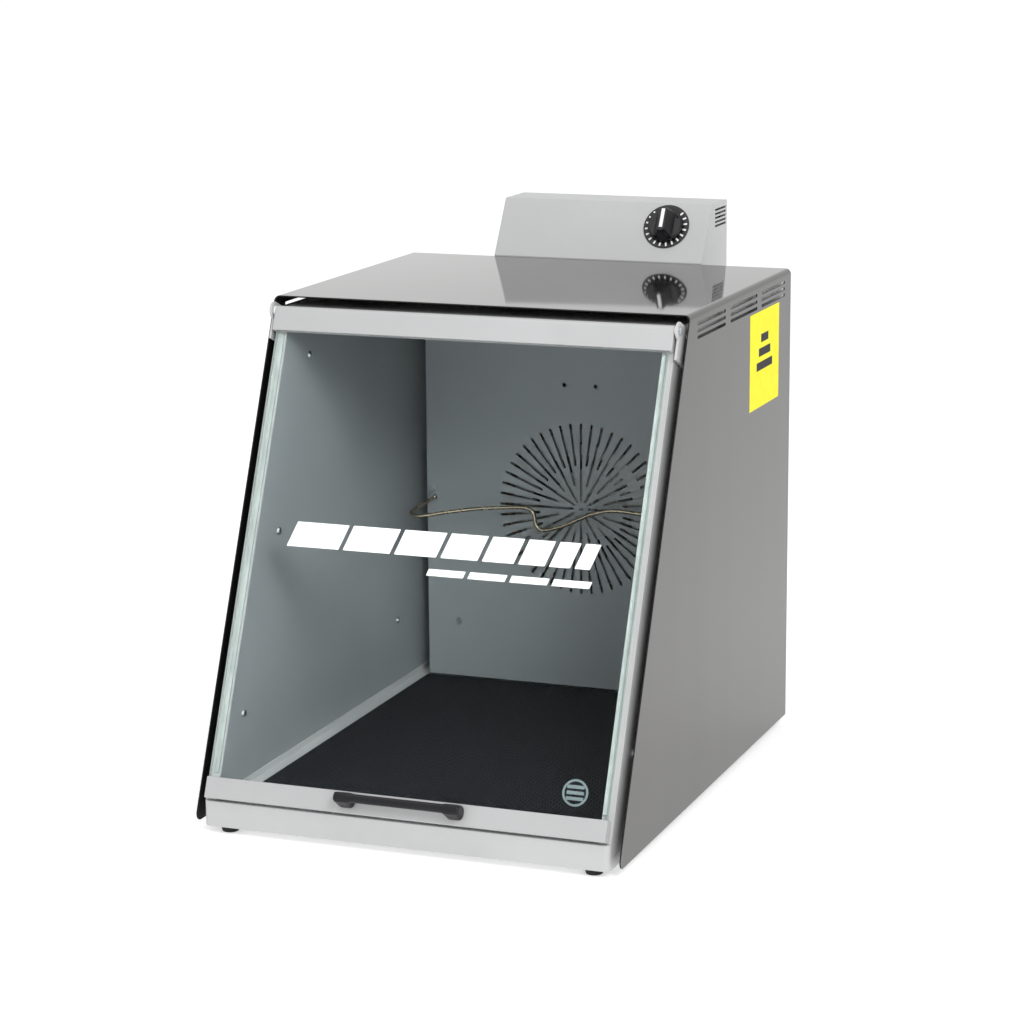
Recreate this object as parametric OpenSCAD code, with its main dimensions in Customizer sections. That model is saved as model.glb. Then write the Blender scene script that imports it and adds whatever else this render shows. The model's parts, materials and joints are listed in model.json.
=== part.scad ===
// Bench-top hot-air cabinet for drying and shaping ski boots.
// A bent steel hood stands over an insulated chamber with a slanted, top-hung glass door.
// +Z is up, the door faces -Y, and the origin is on the bench under the middle of the box.

/* [Hood] */
// Outside width of the hood
hood_w = 460; // [440:1:500]
// Outside height of the hood, from its lower edge to its top
hood_h = 515; // [490:1:560]
// Depth of the hood along its top
hood_top_d = 368; // [340:1:400]
// Depth of the hood along its lower edge
hood_low_d = 588; // [560:1:630]
// Thickness of the hood's sheet
hood_t = 1.5; // [1:0.1:2]
// Width of each air slot in the hood's sides
slot_w = 3.2; // [2:0.1:4]

/* [Body] */
// Air gap between the hood and each side of the body
side_gap = 9; // [8.8:0.1:10]
// How far the body's sloping front stands out of the hood's front edges
body_out = 5; // [4:0.5:6]
// Air gap between the hood and the body's roof
roof_gap = 10.5; // [9:0.5:14]
// Thickness of the body's outer sheets
body_t = 1.5; // [1:0.1:2]
// Thickness of the chamber's liner sheets
liner_t = 1.2; // [0.8:0.1:1.2]
// Height of the apron under the door
apron_h = 25; // [24:0.5:25.5]
// How far the tray under the body hangs below the hood's lower edge
pan_drop = 2; // [0:0.5:4]
// Inside width of the chamber
chamber_w = 413; // [405:1:413]
// Height of the chamber floor above the base
floor_h = 21; // [18:0.5:22]
// Height of the chamber's ceiling above the base
ceiling_h = 484; // [470:1:484]

/* [Door] */
// Thickness of the glass
glass_t = 5; // [4:0.1:5]
// Depth of the two door rails
rail_t = 10; // [9:0.1:10]
// Height of the lower rail along the slope
low_rail_h = 22; // [18:1:24]
// Height of the upper rail along the slope
top_rail_h = 27; // [20:1:28]
// Distance between the handle's two screws
handle_pitch = 117; // [96:1:160]
// How far the handle stands out from its rail
handle_out = 18; // [16:1:36]
// Diameter of the door's pivot pins
pivot_d = 5; // [4:0.1:6]

/* [Fan and heater] */
// Height of the fan's axis above the base
fan_h = 235; // [220:1:250]
// Diameter of the impeller
impeller_d = 150; // [120:1:160]
// Number of impeller blades
blade_n = 24; // [12:1:30]
// Outer radius of the star of slots in the baffle
star_r = 98; // [90:1:110]
// Diameter of the heater's rod
heater_d = 6.5; // [5:0.1:8]
// Diameter of the motor shaft
shaft_d = 8; // [6:0.5:8]

/* [Console] */
// Width of the rear housing
console_w = 250; // [230:1:300]
// Depth of the rear housing behind the hood
console_d = 100; // [98:1:120]
// Height of the console above the hood's lower edge
console_h = 578; // [570:1:600]
// Diameter of the fixed dial plate
dial_d = 53.5; // [48:0.5:56]
// Diameter of the knob's body
knob_d = 40; // [32:0.5:42]

/* [Feet] */
// Height of the rubber feet
foot_h = 8; // [7:0.5:14]
// Diameter of the rubber feet
foot_d = 20; // [18:0.5:24]

/* [Hidden] */
$fn = 48;

// Small working gap between pieces that lie against each other, and a cutting overlap.
gap = 0.2;
eps = 1;

// Colours.
graphite = "#73706d";
light_grey = "#c9cacb";
wall_grey = "#8b9193";
black = "#1b1b1d";
steel = "#b9bdc0";
brass = "#b59a6a";

// Slope of the front, measured from the vertical.
slope_deg = atan((hood_low_d - hood_top_d) / hood_h);
slope_len = (hood_low_d - hood_top_d) / sin(slope_deg);

// Door layout along the slope, from the hood's lower front corner; foot_s is the handle's screws.
rail_low_s = 26;
rail_top_s = 546;
rail_back = -body_out - 0.5;
rail_front = rail_back - rail_t;
rail_mid = rail_back - rail_t / 2;
pivot_s = rail_top_s - rail_t / 2;
foot_s = 39;
glass_bite = 11;
glass_low_s = foot_s + 3;
glass_top_s = rail_top_s - top_rail_h + glass_bite;
glass_back = rail_mid + glass_t / 2;

// Handle: its screws pass under the glass, and its grip bar is the foremost thing on the cabinet.
grip_s = 40.5;
grip_h = 9;
grip_t = 8;
leg_w = 18;
leg_h = 15.5;
handle_reach = (handle_out - rail_front) * cos(slope_deg) - (grip_s - grip_h / 2) * sin(slope_deg);

// Y stations: the overall box is centred on the origin.
back_y = (hood_low_d + handle_reach - console_d) / 2;
front_y = back_y - hood_low_d;
apron_y = front_y + 1;
baffle_y = back_y - 52;
liner_y = back_y - 12;
rear_y = back_y + 10;
housing_y = back_y + console_d;

// Z stations.
pan_z = foot_h;
base_z = pan_z + pan_drop;
floor_z = base_z + floor_h;
ceiling_z = base_z + ceiling_h;
roof_z = base_z + hood_h - hood_t - roof_gap;
fan_z = base_z + fan_h;

// X stations of the right-hand wall, mirrored for the left.
body_x = hood_w / 2 - hood_t - side_gap;
panel_x = body_x - body_t;
top_rail_x = body_x;
chamber_x = chamber_w / 2;
liner_x = chamber_x + liner_t;
flange_x = chamber_x + 0.5;

// Wall screws: Y and Z measured from the hood's lower back corner.
wall_screw_at = [[-334, 447], [-421, 273], [-107, 100], [-516, 99]];
screw_d = 4;

// Baffle fixings and the heater's two ends.
baffle_w = 380;
baffle_low = 25;
baffle_high = 470;
baffle_flange = 10;
standoff_at = [[-152, 91], [152, 91], [-152, 455], [152, 455]];
probe_holes_at = [[-20, 378], [18, 378]];

// Heater: two turns around the impeller, entered and left a little outside the turns.
heater_r = 94;
heater_y = [-40, -26];
heater_gap_deg = 44;
heater_step = 8;
heater_leg_x = 20;
heater_leg_z = fan_z - heater_r - 10;

// Motor, with Y measured from the hood's back edge.
core_y = [36, 61];
bolt_x = 30;
bolt_d = 4.5;
winding_z = [20.5, 64];
limb_z = [38, 56];

// Sloping console face.
console_low = 516;
console_low_y = 2;
console_top_y = 40;
console_deg = atan((console_top_y - console_low_y) / (console_h - console_low));
wall_t = 1.2;
knob_x = 76;
knob_s = 43.4;
knob_h = 20.5;
pointer_w = 4;
pointer_s = [-9.5, 13.5];

// Route of the temperature sensor: X, Y from the hood's back edge, Z from its lower edge.
sensor_d = 4.4;
sensor_route = [[62, 62, 520], [20, 60, 500], [-60, 40, 470], [-104, 26, 420], [-112, 24, 330],
    [-112, 16, 294], [-112, -4, 288], [-118, -22, 282], [-146, -26, 264], [-170, -28, 246],
    [-179, -38, 239], [-180, -54, 238], [-183, -72, 235], [-188, -90, 231], [-189, -103, 228],
    [-177, -108, 226], [-150, -98, 230], [-118, -86, 234], [-88, -78, 236], [-60, -74, 237],
    [-50, -74, 231], [-47, -74, 218], [-38, -74, 212], [-17, -74, 218], [3, -73, 227],
    [21, -72, 235], [46, -70, 240], [78, -68, 238], [104, -66, 236]];

// Routes of the leads inside the rear housing, measured in the same way.
lead_d = 4;
lead_routes = [
    [[-82, 74, 92], [-82, 60, 96], [-92, 40, 130], [-96, 30, 240], [-90, 26, 360], [-76, 22, 408]],
    [[-58, 74, 92], [-58, 58, 98], [-74, 38, 140], [-78, 28, 250], [-74, 26, 360], [-64, 22, 408]],
    [[-64, 22, 433], [-56, 30, 462], [0, 48, 486], [50, 62, 500], [70, 60, 524]],
    [[-52, 22, 408], [-40, 30, 380], [-20, 44, 330], [-12, 48, 300]],
    [[-52, 22, 433], [-40, 26, 446], [70, 26, 430], [96, 24, 300], [78, 26, 150], [36, 32, 132],
        [20, 31, 131]]];

// ---------------------------------------------------------------- helpers

// Y of the plane that lies off mm behind the hood's front edges, at height z.
function slope_y(z, off = 0) = front_y + (z - base_z) * tan(slope_deg) + off / cos(slope_deg);

// Point on a smooth curve through four route points.
function curve(a, b, c, d, t) = 0.5 * (2 * b + (c - a) * t + (2 * a - 5 * b + 4 * c - d) * t * t
    + (3 * b - a - 3 * c + d) * t * t * t);
function smooth(p, n) = [for (i = [0 : len(p) - 2], k = [0 : n - 1])
    curve(p[max(i - 1, 0)], p[i], p[i + 1], p[min(i + 2, len(p) - 1)], k / n), p[len(p) - 1]];
function unit(v) = v / norm(v);

// Ring of points of radius r around point p, square to direction d, turned to face up.
function ring(p, d, r, sides) = let (u = unit(cross(d, [0.02, 0.05, 1])), v = cross(u, d))
    [for (k = [0 : sides - 1]) p + r * (cos(360 * k / sides) * u + sin(360 * k / sides) * v)];

// Closed tube of diameter d that follows the points p.
module tube(p, d, sides = 8) {
    n = len(p);
    rings = [for (i = [0 : n - 1])
        each ring(p[i], unit(p[min(i + 1, n - 1)] - p[max(i - 1, 0)]), d / 2, sides)];
    skin = [for (i = [0 : n - 2], k = [0 : sides - 1]) let (a = i * sides + k,
        b = i * sides + (k + 1) % sides) each [[a, b, b + sides], [a, b + sides, a + sides]]];
    ends = [[for (k = [sides - 1 : -1 : 0]) k], [for (k = [0 : sides - 1]) (n - 1) * sides + k]];
    polyhedron(rings, concat(skin, ends), convexity = 10);
}

// Same point list moved from the hood's lower back corner to the cabinet's own frame.
function placed(p) = [for (q = p) q + [0, back_y, base_z]];

module along_x(x0, x1) { translate([x0, 0, 0]) rotate([90, 0, 90]) linear_extrude(x1 - x0) children(); }
module along_y(y0, y1) { translate([0, y1, 0]) rotate([90, 0, 0]) linear_extrude(y1 - y0) children(); }
module rod_x(d, x0, x1, y, z) { translate([x0, y, z]) rotate([0, 90, 0]) cylinder(h = x1 - x0, d = d); }
module rod_y(d, y0, y1, x, z) { translate([x, y0, z]) rotate([-90, 0, 0]) cylinder(h = y1 - y0, d = d); }
module box(x, y, z) { translate([x[0], y[0], z[0]]) cube([x[1] - x[0], y[1] - y[0], z[1] - z[0]]); }
module both_sides() { children(); mirror([1, 0, 0]) children(); }

// Frame of the sloping front: Z runs up the slope and Y points into the cabinet.
module on_slope() { translate([0, front_y, base_z]) rotate([-slope_deg, 0, 0]) children(); }

// Frame of the sloping console face: the same, from its lower edge.
module on_console() {
    translate([0, back_y + console_low_y, base_z + console_low]) rotate([-console_deg, 0, 0]) children();
}

// Side outline of everything behind the sloping front, between two heights, up to y_back.
module side_outline(z0, z1, y_back, off = -body_out) {
    polygon([[slope_y(z0, off), z0], [y_back, z0], [y_back, z1], [slope_y(z1, off), z1]]);
}

// What is left of a wall piece behind and above the apron and its lip.
module behind_apron() {
    difference() {
        children();
        box([-hood_w, hood_w], [front_y - 50, apron_y + apron_return + gap],
            [0, base_z + apron_h + gap]);
    }
}

// Pan-head screw along +X or +Y: head first, then the shank.
module screw_x(x, y, z, shank, d = screw_d) {
    translate([x, y, z]) rotate([0, 90, 0]) screw(shank, d);
}
module screw_y(x, y, z, shank, d = screw_d) {
    translate([x, y, z]) rotate([-90, 0, 0]) screw(shank, d);
}
module screw(shank, d) {
    translate([0, 0, -0.55 * d]) difference() {
        cylinder(h = 0.55 * d, d1 = 1.6 * d, d2 = 2 * d);
        for (turn = [0, 90]) rotate(turn) translate([-0.5 * d, -0.1 * d, -eps])
            cube([d, 0.2 * d, 0.3 * d + eps]);
    }
    cylinder(h = shank, d = d);
}

// ---------------------------------------------------------------- hood

hood_r = 6;
corner_r = 8;
slot_rows = [489, 496, 503];
slot_groups = [[-345, -248], [-230, -132], [-115, -25]];

module u_shape(w, h, r) {
    translate([-w / 2, base_z - eps]) square([w, h - r + eps]);
    translate([-w / 2 + r, base_z]) square([w - 2 * r, h]);
    for (x = [-1, 1]) translate([x * (w / 2 - r), base_z + h - r]) circle(r);
}

// Side outline of the hood, with its lower front corners rounded.
module hood_outline() {
    corner_deg = 90 - slope_deg;
    back = corner_r / tan(corner_deg / 2);
    polygon([[front_y + back, base_z], [back_y, base_z], [back_y, base_z + hood_h],
        [front_y + slope_len * sin(slope_deg), base_z + hood_h],
        [front_y + back * sin(slope_deg), base_z + back * cos(slope_deg)]]);
    translate([front_y + back, base_z + corner_r]) circle(corner_r);
}

module outer_hood() {
    color(graphite) difference() {
        intersection() {
            along_x(-hood_w / 2, hood_w / 2) hood_outline();
            along_y(front_y - eps, back_y + eps) difference() {
                u_shape(hood_w, hood_h, hood_r);
                u_shape(hood_w - 2 * hood_t, hood_h - hood_t, hood_r - hood_t);
            }
        }
        for (g = slot_groups, z = slot_rows) {
            box([-hood_w, hood_w], [back_y + g[0] + slot_w / 2, back_y + g[1] - slot_w / 2],
                [base_z + z - slot_w / 2, base_z + z + slot_w / 2]);
            for (y = [g[0] + slot_w / 2, g[1] - slot_w / 2])
                rod_x(slot_w, -hood_w, hood_w, back_y + y, base_z + z);
        }
    }
}

// Clinch nuts in the hood's sides, which hold the hood off the body.
module hood_spacers() {
    color(steel) both_sides() for (p = wall_screw_at) difference() {
        rod_x(11, body_x, body_x + side_gap, back_y + p[0], base_z + p[1]);
        rod_x(screw_d + gap, body_x - eps, body_x + side_gap + eps, back_y + p[0], base_z + p[1]);
    }
}

// ---------------------------------------------------------------- body

module wall_holes(x0, x1, d) {
    for (p = wall_screw_at) rod_x(d, x0, x1, back_y + p[0], base_z + p[1]);
}

module side_panel() {
    difference() {
        union() {
            behind_apron() along_x(panel_x, body_x)
                side_outline(base_z + pan_side_h, roof_z, rear_y);
            intersection() {
                on_slope() box([flange_x, body_x], [-body_out, body_t - body_out], [0, slope_len]);
                box([0, hood_w], [front_y, back_y], [base_z + apron_h + gap, roof_z - body_t]);
            }
        }
        wall_holes(panel_x - eps, body_x + eps, screw_d + gap);
        bracket_holes();
    }
}
module side_panel_left() { color(light_grey) mirror([1, 0, 0]) side_panel(); }
module side_panel_right() { color(light_grey) side_panel(); }

module roof_panel() {
    color(light_grey) union() {
        along_x(-panel_x, panel_x) side_outline(roof_z - body_t, roof_z, rear_y);
        intersection() {
            on_slope() box([-flange_x, flange_x], [-body_out, body_t - body_out], [0, slope_len]);
            box([-flange_x, flange_x], [front_y, back_y], [ceiling_z, roof_z - body_t]);
        }
    }
}

// Tray under the body: low sides, and the apron with a lip and short returns at the front.
pan_r = 6;
pan_side_h = 11;
apron_return = 14;
lip_w = 12;

module pan_plan(inset) {
    r = pan_r - inset;
    w = body_x - inset;
    translate([-w, apron_y + inset + r]) square([2 * w, rear_y - body_t - apron_y - 2 * inset - r]);
    translate([-w + r, apron_y + inset]) square([2 * (w - r), r + eps]);
    for (x = [-1, 1]) translate([x * (w - r), apron_y + inset + r]) circle(r);
}

module base_pan() {
    color(light_grey) difference() {
        union() {
            translate([0, 0, pan_z]) linear_extrude(pan_drop + pan_side_h) pan_plan(0);
            intersection() {
                translate([0, 0, pan_z]) linear_extrude(pan_drop + apron_h) pan_plan(0);
                box([-hood_w, hood_w], [apron_y - eps, apron_y + apron_return], [0, base_z + apron_h]);
            }
        }
        translate([0, 0, pan_z + body_t]) linear_extrude(pan_drop + apron_h - 2 * body_t)
            pan_plan(body_t);
        box([-body_x + lip_w, body_x - lip_w], [apron_y + lip_w, rear_y],
            [base_z + apron_h - 5, base_z + apron_h + eps]);
        for (p = foot_at) translate([p[0], p[1], 0]) cylinder(h = pan_z + 5, d = foot_screw_d + gap);
    }
}

// Openings that the fan shaft, the heater's legs, the sensor and the motor studs pass through.
module rear_openings(y0, y1, play) {
    rod_y(shaft_d + 8 + play, y0, y1, 0, fan_z);
    for (x = [-1, 1]) rod_y(heater_d + 2.5 + play, y0, y1, x * heater_leg_x, heater_leg_z);
    rod_y(sensor_d + 4 + play, y0, y1, -112, base_z + 289);
}

module rear_panel() {
    color(steel) difference() {
        box([-panel_x, panel_x], [rear_y - body_t, rear_y], [pan_z, roof_z - body_t]);
        rear_openings(rear_y - body_t - eps, rear_y + eps, 0);
    }
}

// ---------------------------------------------------------------- chamber

module liner_side() {
    difference() {
        behind_apron() along_x(chamber_x, liner_x)
            side_outline(floor_z, ceiling_z, liner_y, body_t - body_out);
        wall_holes(chamber_x - eps, liner_x + eps, screw_d + gap);
    }
}
module liner_left() { color(wall_grey) mirror([1, 0, 0]) liner_side(); }
module liner_right() { color(wall_grey) liner_side(); }

module liner_roof() {
    color(wall_grey) along_x(-liner_x, liner_x)
        side_outline(ceiling_z, ceiling_z + liner_t, liner_y, body_t - body_out);
}

module liner_rear() {
    color(wall_grey) difference() {
        box([-liner_x, liner_x], [liner_y, liner_y + liner_t], [floor_z, ceiling_z + liner_t]);
        rear_openings(liner_y - eps, liner_y + liner_t + eps, 0);
        for (p = standoff_at) rod_y(screw_d + gap, liner_y - eps, liner_y + 5, p[0], base_z + p[1]);
    }
}

module chamber_floor() {
    color(wall_grey) box([-liner_x, liner_x], [apron_y + body_t, liner_y + liner_t],
        [floor_z - liner_t, floor_z]);
}

mat_t = 2;
rail_w = 14;

module floor_mat() {
    color(black) box([-chamber_x + rail_w + gap, chamber_x - rail_w - gap],
        [apron_y + 14, baffle_y - gap], [floor_z, floor_z + mat_t]);
}

// Angle strips that hold the mat down along both walls.
module floor_rails() {
    low = floor_z;
    color(light_grey) both_sides() {
        box([chamber_x - rail_w, chamber_x], [apron_y + 14, liner_y - 2], [low, low + 1.5]);
        box([chamber_x - 1.5, chamber_x], [apron_y + 14, liner_y - 2], [low, low + 8]);
    }
}

module side_insulation() {
    color("#d8cfa8") both_sides() difference() {
        behind_apron() along_x(liner_x + gap, panel_x - gap)
            side_outline(floor_z, roof_z - body_t - gap, liner_y, body_t + gap - body_out);
        wall_holes(liner_x, panel_x, screw_d + 1);
    }
}

module roof_insulation() {
    color("#d8cfa8") along_x(-liner_x, liner_x)
        side_outline(ceiling_z + liner_t + gap, roof_z - body_t - gap, liner_y, body_t + gap - body_out);
}

module floor_insulation() {
    color("#d8cfa8") difference() {
        box([-chamber_x, chamber_x], [apron_y + 14, liner_y],
            [pan_z + body_t + gap, floor_z - liner_t - gap]);
        for (p = foot_at) translate([p[0], p[1], pan_z]) cylinder(h = 8, d = foot_screw_d + 10);
    }
}

module rear_insulation() {
    color("#d8cfa8") difference() {
        box([-panel_x + gap, panel_x - gap], [liner_y + liner_t + gap, rear_y - body_t - gap],
            [floor_z, roof_z - body_t - gap]);
        rear_openings(liner_y, rear_y, 4);
        for (p = standoff_at) rod_y(14, liner_y, liner_y + 10, p[0], base_z + p[1]);
    }
}

// Star of slots: every fourth one runs to the middle, the others stop short in turn.
star_inner = [10, 52, 29, 52];
star_step = 7.5;
star_slot_w = 3;

module star_slots() {
    for (i = [0 : 360 / star_step - 1]) rotate(i * star_step) {
        inner = star_inner[i % 4];
        translate([inner, -star_slot_w / 2]) square([star_r - inner, star_slot_w]);
        for (r = [inner, star_r]) translate([r, 0]) circle(d = star_slot_w, $fn = 16);
    }
}

module air_baffle() {
    color(wall_grey) union() {
        along_y(baffle_y, baffle_y + liner_t) difference() {
            translate([-baffle_w / 2, base_z + baffle_low]) square([baffle_w, baffle_high - baffle_low]);
            translate([0, fan_z]) star_slots();
            translate([0, fan_z]) circle(d = 5);
            for (p = standoff_at) translate([p[0], base_z + p[1]]) circle(d = screw_d + gap);
            for (p = probe_holes_at) translate([p[0], base_z + p[1]]) circle(d = 5);
            translate([-180, base_z + 238]) circle(d = sensor_d + 2.6);
            translate([-184, base_z + 247]) circle(d = 3 + gap);
        }
        both_sides() box([baffle_w / 2 - liner_t, baffle_w / 2],
            [baffle_y + liner_t - 0.01, baffle_y + liner_t + baffle_flange],
            [base_z + baffle_low, base_z + baffle_high]);
    }
}

module baffle_standoffs() {
    color(steel) for (p = standoff_at) difference() {
        rod_y(12, baffle_y + liner_t, liner_y, p[0], base_z + p[1]);
        rod_y(screw_d + gap, baffle_y, back_y, p[0], base_z + p[1]);
    }
}

module baffle_screws() {
    color(steel) for (p = standoff_at)
        screw_y(p[0], baffle_y, base_z + p[1], liner_y + liner_t + 4 - baffle_y);
}

module wall_screws() {
    color(steel) both_sides() for (p = wall_screw_at)
        screw_x(chamber_x, back_y + p[0], base_z + p[1], body_x + side_gap - 0.2 - chamber_x);
}

module sensor_tube() { color(brass) tube(placed(smooth(sensor_route, 2)), sensor_d); }

// Guide plate where the sensor comes through the baffle, with its screw.
module sensor_gland() {
    color(steel) {
        difference() {
            union() {
                rod_y(11, baffle_y - 3, baffle_y, -180, base_z + 238);
                rod_y(8, baffle_y - 1.2, baffle_y, -184, base_z + 247);
            }
            rod_y(sensor_d + 1.6, baffle_y - 5, baffle_y + 5, -180, base_z + 238);
            rod_y(3 + gap, baffle_y - 5, baffle_y + 5, -184, base_z + 247);
        }
        screw_y(-184, baffle_y - 1.2, base_z + 247, 6, 3);
    }
}

// ---------------------------------------------------------------- heater and fan

// Two turns of rod around the impeller; both ends leave through the rear wall.
module heating_element() {
    sweep = 720 - heater_gap_deg;
    low = heater_leg_z - base_z;
    turns = [for (t = [0 : heater_step : sweep]) let (a = -90 - heater_gap_deg / 2 - t)
        [heater_r * cos(a), heater_y[0] + (heater_y[1] - heater_y[0]) * t / sweep,
            fan_h + heater_r * sin(a)]];
    entry = [[-heater_leg_x, 24, low], [-heater_leg_x, -12, low], [-heater_leg_x, -32, low],
        [-heater_leg_x - 3, -38, low + 2]];
    exit = [[heater_leg_x + 3, -24, low + 2], [heater_leg_x, -18, low], [heater_leg_x, -6, low],
        [heater_leg_x, 24, low]];
    color("#5d5148") tube(placed(concat(entry, turns, exit)), heater_d);
}

module heater_flange() {
    half = heater_leg_x + 16;
    color(steel) difference() {
        box([-half, half], [rear_y, rear_y + 2], [heater_leg_z - 10, heater_leg_z + 10]);
        for (x = [-1, 1]) rod_y(heater_d + gap, rear_y - eps, rear_y + 3, x * heater_leg_x, heater_leg_z);
    }
}

blade_r = [42, 74];
impeller_y = -46;
impeller_back_y = -19;

module impeller() {
    r = impeller_d / 2;
    color("#c4c6c8") translate([0, back_y, fan_z]) rotate([-90, 0, 0]) difference() {
        union() {
            translate([0, 0, impeller_back_y - 1]) cylinder(h = 1, r = r, $fn = 72);
            translate([0, 0, impeller_back_y - 15]) cylinder(h = 15, d = 22);
            translate([0, 0, impeller_y]) difference() {
                cylinder(h = 1, r = r, $fn = 72);
                translate([0, 0, -eps]) cylinder(h = 3, r = r - 13, $fn = 72);
            }
            for (i = [0 : blade_n - 1]) rotate(i * 360 / blade_n) translate([blade_r[0], 0, impeller_y])
                rotate(18) translate([0, -0.5, 0])
                cube([blade_r[1] - blade_r[0] - 1, 1, impeller_back_y - impeller_y - 0.5]);
        }
        translate([0, 0, -60]) cylinder(h = 60, d = shaft_d + 0.1);
    }
}

module hub_nut() {
    color(steel) difference() {
        rod_y(13, back_y + impeller_back_y - 20, back_y + impeller_back_y - 15, 0, fan_z, $fn = 6);
        rod_y(shaft_d + 0.1, back_y - 60, back_y, 0, fan_z);
    }
}

module motor_shaft() { color(steel) rod_y(shaft_d, back_y - 42, back_y + 91, 0, fan_z); }

module motor_rotor() {
    color("#9b9ea2") difference() {
        union() {
            rod_y(26, back_y + core_y[0], back_y + core_y[1], 0, fan_z);
            rod_y(20, back_y + core_y[0] - 3, back_y + core_y[1] + 3, 0, fan_z);
        }
        rod_y(shaft_d + 0.1, back_y, back_y + 80, 0, fan_z);
    }
}

module cooling_fan() {
    y = back_y + 79;
    color(black) difference() {
        union() {
            rod_y(18, y, y + 9, 0, fan_z);
            for (i = [0 : 5]) translate([0, y + 4.5, fan_z]) rotate([0, i * 60, 0]) rotate([0, 0, 0])
                translate([7, 0, 0]) rotate([28, 0, 0]) translate([0, -0.75, -8]) cube([33, 1.5, 16]);
        }
        rod_y(shaft_d + 0.1, y - 10, y + 20, 0, fan_z);
    }
}

module motor_core() {
    color("#7f8286") translate([0, back_y, fan_z]) difference() {
        box([-42, 42], core_y, [-26, limb_z[1]]);
        rod_y(26.8, 30, 70, 0, 0);
        box([-26, 26], [30, 70], [20, limb_z[0]]);
        for (x = [-1, 1]) rod_y(bolt_d + gap, 30, 70, x * bolt_x, 0);
    }
}

module motor_winding() {
    color("#9a5b2c") translate([0, back_y, fan_z]) difference() {
        box([-24, 24], [core_y[0] - 8, core_y[1] + 8], winding_z);
        box([-30, 30], [core_y[0] - gap, core_y[1] + gap], [limb_z[0] - gap, limb_z[1] + gap]);
    }
}

module bearing_bracket(y_bar, y_foot, y_boss) {
    translate([0, back_y, fan_z]) difference() {
        union() {
            box([-37, 37], y_bar, [-9, 9]);
            for (x = [-1, 1]) rod_y(11, y_foot[0], y_foot[1], x * bolt_x, 0);
            rod_y(18, y_boss[0], y_boss[1], 0, 0);
        }
        rod_y(shaft_d + 0.3, 0, 90, 0, 0);
        for (x = [-1, 1]) rod_y(bolt_d + gap, 0, 90, x * bolt_x, 0);
    }
}
module front_bearing_bracket() { color(steel) bearing_bracket([26, 30], [10, core_y[0]], [22, 31]); }
module rear_bearing_bracket() { color(steel) bearing_bracket([67, 71], [core_y[1], 71], [66, 75]); }

module motor_bolts() {
    color(steel) for (x = [-1, 1]) {
        rod_y(bolt_d, rear_y, back_y + 74, x * bolt_x, fan_z);
        rod_y(9, back_y + 71, back_y + 74, x * bolt_x, fan_z, $fn = 6);
    }
}

// ---------------------------------------------------------------- rear housing and console

// Side outline of the rear housing, or of its inside when t is its wall thickness.
module housing_outline(t) {
    low = base_z + 12 + t;
    high = base_z + console_h - t;
    lip_y = back_y + console_low_y + t;
    shift = t / cos(console_deg);
    top_y = back_y + console_top_y + shift - t * tan(console_deg);
    bend_z = base_z + console_low + (t - shift) / tan(console_deg);
    front = rear_y - (t > 0 ? eps : 0);
    rear = housing_y - wall_t + (t > 0 ? eps : 0);
    polygon([[front, low], [rear, low], [rear, high], [top_y, high], [lip_y, bend_z],
        [lip_y, roof_z + t], [front, roof_z + t]]);
}

vent_slots = [for (i = [0 : 4]) 552 + i * 4.6];
cover_screw_z = [40, 290, 560];

module rear_housing() {
    half = console_w / 2;
    color(light_grey) difference() {
        union() {
            difference() {
                along_x(-half, half) housing_outline(0);
                along_x(-half + wall_t, half - wall_t) housing_outline(wall_t);
            }
            both_sides() {
                box([half - 14, half - wall_t + 0.01], [housing_y - 2 * wall_t, housing_y - wall_t],
                    [base_z + 13, base_z + console_h - wall_t]);
                box([half - 14, half - wall_t + 0.01], [rear_y, rear_y + wall_t],
                    [base_z + 13, roof_z - 4]);
            }
        }
        for (z = vent_slots) box([-half - eps, half + eps], [back_y + 53, back_y + 95],
            [base_z + z - 1.2, base_z + z + 1.2]);
        for (x = [-1, 1], z = cover_screw_z)
            rod_y(screw_d + gap, housing_y - 4, housing_y, x * (half - 7), base_z + z);
        for (x = [-1, 1], z = [60, 470])
            rod_y(screw_d + gap, rear_y - 1, rear_y + 3, x * (half - 7), base_z + z);
        rear_openings(rear_y - eps, rear_y + wall_t + eps, 2);
        on_console() translate([knob_x, -eps, knob_s]) rotate([-90, 0, 0]) cylinder(h = 4, d = 10);
    }
}

cover_vents = [for (i = [0 : 8]) 190 + i * 9];
inlet_x = -70;
inlet_z = 92;

module rear_cover() {
    half = console_w / 2 - wall_t - gap;
    color(light_grey) difference() {
        box([-half, half], [housing_y - wall_t, housing_y],
            [base_z + 12 + wall_t + gap, base_z + console_h - wall_t - gap]);
        for (z = cover_vents) box([-45, 45], [housing_y - 3, housing_y + 1],
            [base_z + z - 1.6, base_z + z + 1.6]);
        for (x = [-1, 1], z = cover_screw_z)
            rod_y(screw_d + gap, housing_y - 4, housing_y + 1, x * (console_w / 2 - 7), base_z + z);
        box([inlet_x - 14, inlet_x + 14], [housing_y - 3, housing_y + 1],
            [base_z + inlet_z - 10, base_z + inlet_z + 10]);
    }
}

module housing_screws() {
    color(steel) for (x = [-1, 1]) {
        for (z = cover_screw_z) translate([x * (console_w / 2 - 7), housing_y, base_z + z])
            rotate([90, 0, 0]) screw(9, screw_d);
        for (z = [60, 470]) translate([x * (console_w / 2 - 7), rear_y + wall_t, base_z + z])
            rotate([90, 0, 0]) screw(wall_t, screw_d);
    }
}

module thermostat() {
    color("#8f8570") on_console() translate([knob_x, 0, knob_s]) difference() {
        union() {
            box([-20, 20], [wall_t + gap, 30], [-20, 20]);
            for (x = [-12, 0, 12]) box([x - 3, x + 3], [30, 38], [-0.4, 0.4]);
        }
        rotate([-90, 0, 0]) cylinder(h = 14, d = 7);
    }
}

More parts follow.
